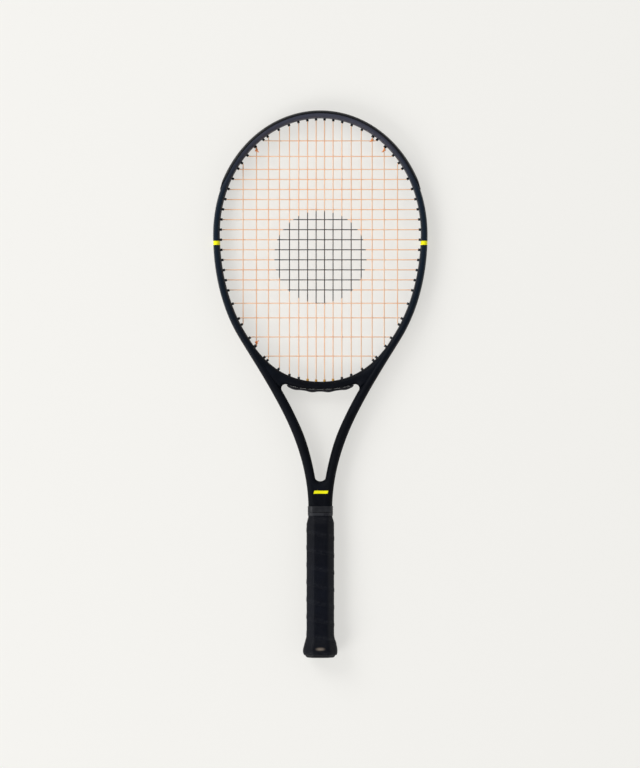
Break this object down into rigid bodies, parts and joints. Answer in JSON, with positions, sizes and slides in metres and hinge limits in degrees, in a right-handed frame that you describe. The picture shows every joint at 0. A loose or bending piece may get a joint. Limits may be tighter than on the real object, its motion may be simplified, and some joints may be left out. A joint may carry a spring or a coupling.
{
  "type": "tennis racket",
  "caption": "Adult tennis racket: egg-shaped strung hoop on a forked twin-tube shaft with a wrapped octagonal handle and a flared butt cap.",
  "frame": {"origin": "centre of the butt cap's flat end face", "axes": "+Y along the handle to the tip of the hoop, +Z square to the string bed and out of its front, +X to the right as seen from the front"},
  "size_m": [0.2689, 0.6858, 0.039],
  "materials": {
    "frame_paint": "satin dark navy paint over carbon fibre",
    "guard_plastic": "moulded black nylon",
    "grommet_plastic": "moulded black nylon",
    "centre_grommet": "moulded amber nylon",
    "string": "orange polyester monofilament",
    "pallet_foam": "moulded polyurethane foam",
    "cap_plastic": "moulded black nylon",
    "door_plastic": "moulded black nylon",
    "staple_steel": "galvanised wire",
    "base_grip": "cushioned polyurethane grip",
    "overgrip": "tacky polyurethane overgrip",
    "tape": "vinyl finishing tape",
    "collar": "moulded rubber"
  },
  "bodies": {
    "racket": {"frame": "frame_paint", "bumper_guard": "guard_plastic", "grommet_strip_left": "grommet_plastic", "grommet_strip_right": "grommet_plastic", "throat_grommet_strip": "grommet_plastic", "centre_grommets": "centre_grommet", "main_string": "string", "cross_string": "string", "main_knots": "string", "cross_knots": "string", "pallet_front": "pallet_foam", "pallet_back": "pallet_foam", "butt_cap": "cap_plastic", "cap_staples": "staple_steel", "base_grip": "base_grip", "grip_tack": "staple_steel", "overgrip": "overgrip", "finishing_tape": "tape", "rubber_collar": "collar"},
    "trap_door": {"trap_door": "door_plastic"}
  },
  "joints": [
    {"name": "trap_door_slide", "type": "slide", "parent": "racket", "child": "trap_door", "axis": [0, -1, 0], "range_m": [0, 0.007]}
  ]
}
